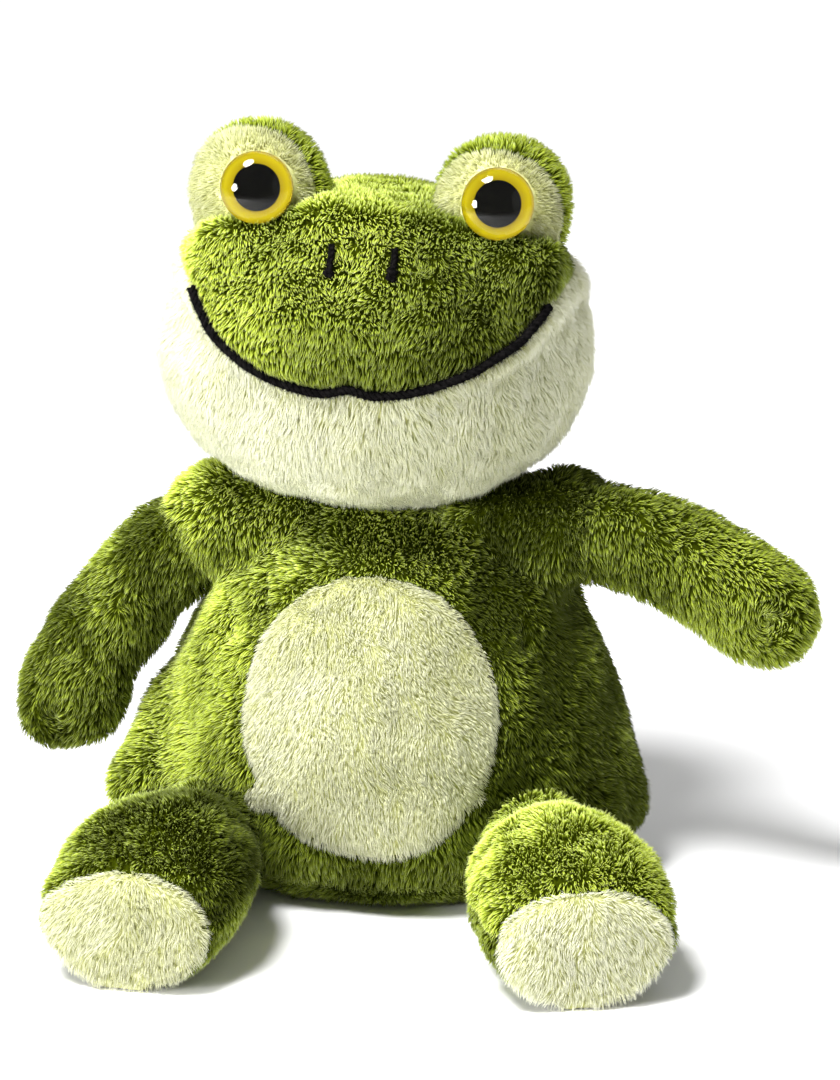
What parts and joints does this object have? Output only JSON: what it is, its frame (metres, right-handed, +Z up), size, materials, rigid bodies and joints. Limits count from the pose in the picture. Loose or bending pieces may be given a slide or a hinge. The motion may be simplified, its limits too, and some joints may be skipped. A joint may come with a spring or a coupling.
{
  "type": "plush frog",
  "caption": "Seated plush frog with a round head on a soft neck, raised eye mounds, and arms and legs that swing and lift in their seams.",
  "frame": {"origin": "middle of the flat seat, on the floor", "axes": "+Z up, the frog faces -Y, its own left side is +X"},
  "size_m": [0.1416, 0.1095, 0.1336],
  "materials": {
    "green_fur": "long pile plush",
    "cream_fur": "short pile plush",
    "seam_fabric": "folded seam allowance",
    "fibre_filling": "polyester fibre",
    "pellets": "loose plastic pellets",
    "black_yarn": "fuzzy yarn",
    "eye_lens": "clear glossy plastic",
    "eye_iris": "yellow plastic under the lens",
    "eye_pupil": "black plastic under the lens",
    "eye_washer": "moulded washer"
  },
  "bodies": {
    "torso": {"torso_front_panel": "green_fur", "torso_back_panel": "green_fur", "seat_panel": "green_fur", "belly_patch": "cream_fur", "torso_stuffing": "fibre_filling", "pellet_bag": "pellets"},
    "neck_ring": {"neck_seam": "seam_fabric"},
    "head": {"crown_panel": "green_fur", "chin_panel": "cream_fur", "head_back_panel": "green_fur", "head_stuffing": "fibre_filling", "mouth_cord": "black_yarn", "nostril_stitch_left": "black_yarn", "nostril_stitch_right": "black_yarn", "eye_patch_left": "cream_fur", "eye_hood_left": "green_fur", "eye_filling_left": "fibre_filling", "eye_lens_left": "eye_lens", "eye_iris_left": "eye_iris", "eye_pupil_left": "eye_pupil", "eye_washer_left": "eye_washer", "eye_patch_right": "cream_fur", "eye_hood_right": "green_fur", "eye_filling_right": "fibre_filling", "eye_lens_right": "eye_lens", "eye_iris_right": "eye_iris", "eye_pupil_right": "eye_pupil", "eye_washer_right": "eye_washer"},
    "shoulder_ring_left": {"shoulder_seam_left": "seam_fabric"},
    "arm_left": {"arm_front_panel_left": "green_fur", "arm_back_panel_left": "green_fur", "arm_stuffing_left": "fibre_filling"},
    "hip_ring_left": {"hip_seam_left": "seam_fabric"},
    "leg_left": {"leg_upper_panel_left": "green_fur", "leg_lower_panel_left": "green_fur", "sole_panel_left": "cream_fur", "leg_stuffing_left": "fibre_filling", "foot_pellets_left": "pellets"},
    "shoulder_ring_right": {"shoulder_seam_right": "seam_fabric"},
    "arm_right": {"arm_front_panel_right": "green_fur", "arm_back_panel_right": "green_fur", "arm_stuffing_right": "fibre_filling"},
    "hip_ring_right": {"hip_seam_right": "seam_fabric"},
    "leg_right": {"leg_upper_panel_right": "green_fur", "leg_lower_panel_right": "green_fur", "sole_panel_right": "cream_fur", "leg_stuffing_right": "fibre_filling", "foot_pellets_right": "pellets"}
  },
  "joints": [
    {"name": "neck_turn", "type": "hinge", "parent": "torso", "child": "neck_ring", "pos_m": [-0.0052, 0, 0.056], "axis": [0, 0, 1], "range_deg": [-10, 10], "stiffness_Nm_per_rad": 0.15},
    {"name": "head_nod", "type": "hinge", "parent": "neck_ring", "child": "head", "pos_m": [-0.0052, 0, 0.056], "axis": [0.9969, 0.0785, 0], "range_deg": [-6, 3], "stiffness_Nm_per_rad": 0.15},
    {"name": "shoulder_swing_left", "type": "hinge", "parent": "torso", "child": "shoulder_ring_left", "pos_m": [0.0288, -0.004, 0.062], "axis": [0, 0, -1], "range_deg": [-20, 20], "stiffness_Nm_per_rad": 0.02},
    {"name": "arm_raise_left", "type": "hinge", "parent": "shoulder_ring_left", "child": "arm_left", "pos_m": [0.0288, -0.004, 0.062], "axis": [-0.1736, -0.9848, 0], "range_deg": [-26, 12], "stiffness_Nm_per_rad": 0.02},
    {"name": "hip_spread_left", "type": "hinge", "parent": "torso", "child": "hip_ring_left", "pos_m": [0.028, -0.026, 0.012], "axis": [0, 0, 1], "range_deg": [-4, 12], "stiffness_Nm_per_rad": 0.03},
    {"name": "leg_raise_left", "type": "hinge", "parent": "hip_ring_left", "child": "leg_left", "pos_m": [0.028, -0.026, 0.012], "axis": [-0.9613, -0.2756, 0], "range_deg": [-12, 24], "stiffness_Nm_per_rad": 0.03},
    {"name": "shoulder_swing_right", "type": "hinge", "parent": "torso", "child": "shoulder_ring_right", "pos_m": [-0.0288, -0.004, 0.062], "axis": [0, 0, 1], "range_deg": [-20, 20], "stiffness_Nm_per_rad": 0.02},
    {"name": "arm_raise_right", "type": "hinge", "parent": "shoulder_ring_right", "child": "arm_right", "pos_m": [-0.0288, -0.004, 0.062], "axis": [-0.1736, 0.9848, 0], "range_deg": [0, 38], "stiffness_Nm_per_rad": 0.02},
    {"name": "hip_spread_right", "type": "hinge", "parent": "torso", "child": "hip_ring_right", "pos_m": [-0.028, -0.026, 0.012], "axis": [0, 0, -1], "range_deg": [-4, 12], "stiffness_Nm_per_rad": 0.03},
    {"name": "leg_raise_right", "type": "hinge", "parent": "hip_ring_right", "child": "leg_right", "pos_m": [-0.028, -0.026, 0.012], "axis": [-0.9903, 0.1392, 0], "range_deg": [-12, 24], "stiffness_Nm_per_rad": 0.03}
  ]
}
